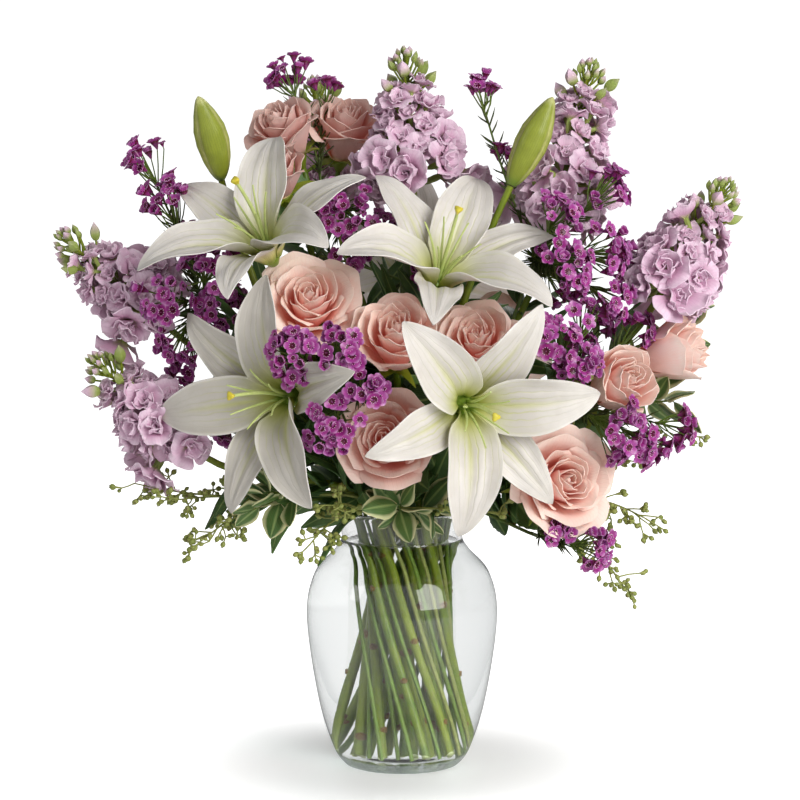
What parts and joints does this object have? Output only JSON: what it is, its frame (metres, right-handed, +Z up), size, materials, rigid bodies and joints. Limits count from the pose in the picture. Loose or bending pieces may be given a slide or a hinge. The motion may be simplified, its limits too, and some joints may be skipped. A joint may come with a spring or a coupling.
{
  "type": "flowers in a glass vase",
  "caption": "Bouquet of white lilies, pink roses, lavender stock, purple waxflower and greenery, standing in a clear glass vase of water.",
  "frame": {"origin": "centre of the vase's flat foot, on the surface it stands on", "axes": "+Z up along the vase's axis, -Y towards the viewer that the bouquet faces, +X to the viewer's right"},
  "size_m": [0.4684, 0.328, 0.5075],
  "materials": {
    "glass": "clear, polished",
    "water": "clear",
    "lily_white": "soft, waxy",
    "lily_green": "soft, waxy",
    "rose_pink": "velvety",
    "stock_lavender": "soft",
    "stem_green": "smooth, waxy",
    "wax_purple": "waxy",
    "gum_green": "matt",
    "leaf_green": "glossy"
  },
  "bodies": {
    "root": {"gum_back": "gum_green", "gum_front": "gum_green", "gum_left": "gum_green", "gum_right": "gum_green", "leaves_back": "leaf_green", "leaves_front": "leaf_green", "leaves_left": "leaf_green", "leaves_right": "leaf_green", "lily_back": "lily_white", "lily_bud_left": "lily_green", "lily_bud_right": "lily_green", "lily_lower_left": "lily_white", "lily_lower_right": "lily_white", "lily_upper_left": "lily_white", "lily_upper_right": "lily_white", "rose_back_left": "rose_pink", "rose_back_right": "rose_pink", "rose_far_right": "rose_pink", "rose_low_middle": "rose_pink", "rose_low_right": "rose_pink", "rose_middle": "rose_pink", "rose_middle_left": "rose_pink", "rose_middle_right": "rose_pink", "rose_right": "rose_pink", "rose_top_front": "rose_pink", "rose_top_left": "rose_pink", "rose_top_right": "rose_pink", "stem_lily_back": "stem_green", "stem_lily_left": "stem_green", "stem_lily_right": "stem_green", "stem_rose_back_left": "stem_green", "stem_rose_back_right": "stem_green", "stem_rose_low_middle": "stem_green", "stem_rose_low_right": "stem_green", "stem_rose_middle": "stem_green", "stem_rose_middle_left": "stem_green", "stem_rose_middle_right": "stem_green", "stem_rose_right": "stem_green", "stem_rose_top": "stem_green", "stem_stock_back": "stem_green", "stem_stock_left": "stem_green", "stem_stock_low_left": "stem_green", "stem_stock_right": "stem_green", "stem_stock_top": "stem_green", "stem_stock_top_right": "stem_green", "stock_back": "stock_lavender", "stock_left": "stock_lavender", "stock_low_left": "stock_lavender", "stock_right": "stock_lavender", "stock_top": "stock_lavender", "stock_top_right": "stock_lavender", "vase": "glass", "water": "water", "wax_back": "wax_purple", "wax_left": "wax_purple", "wax_low_right": "wax_purple", "wax_middle": "wax_purple", "wax_right": "wax_purple", "wax_top": "wax_purple", "wax_top_right": "wax_purple"}
  },
  "joints": []
}
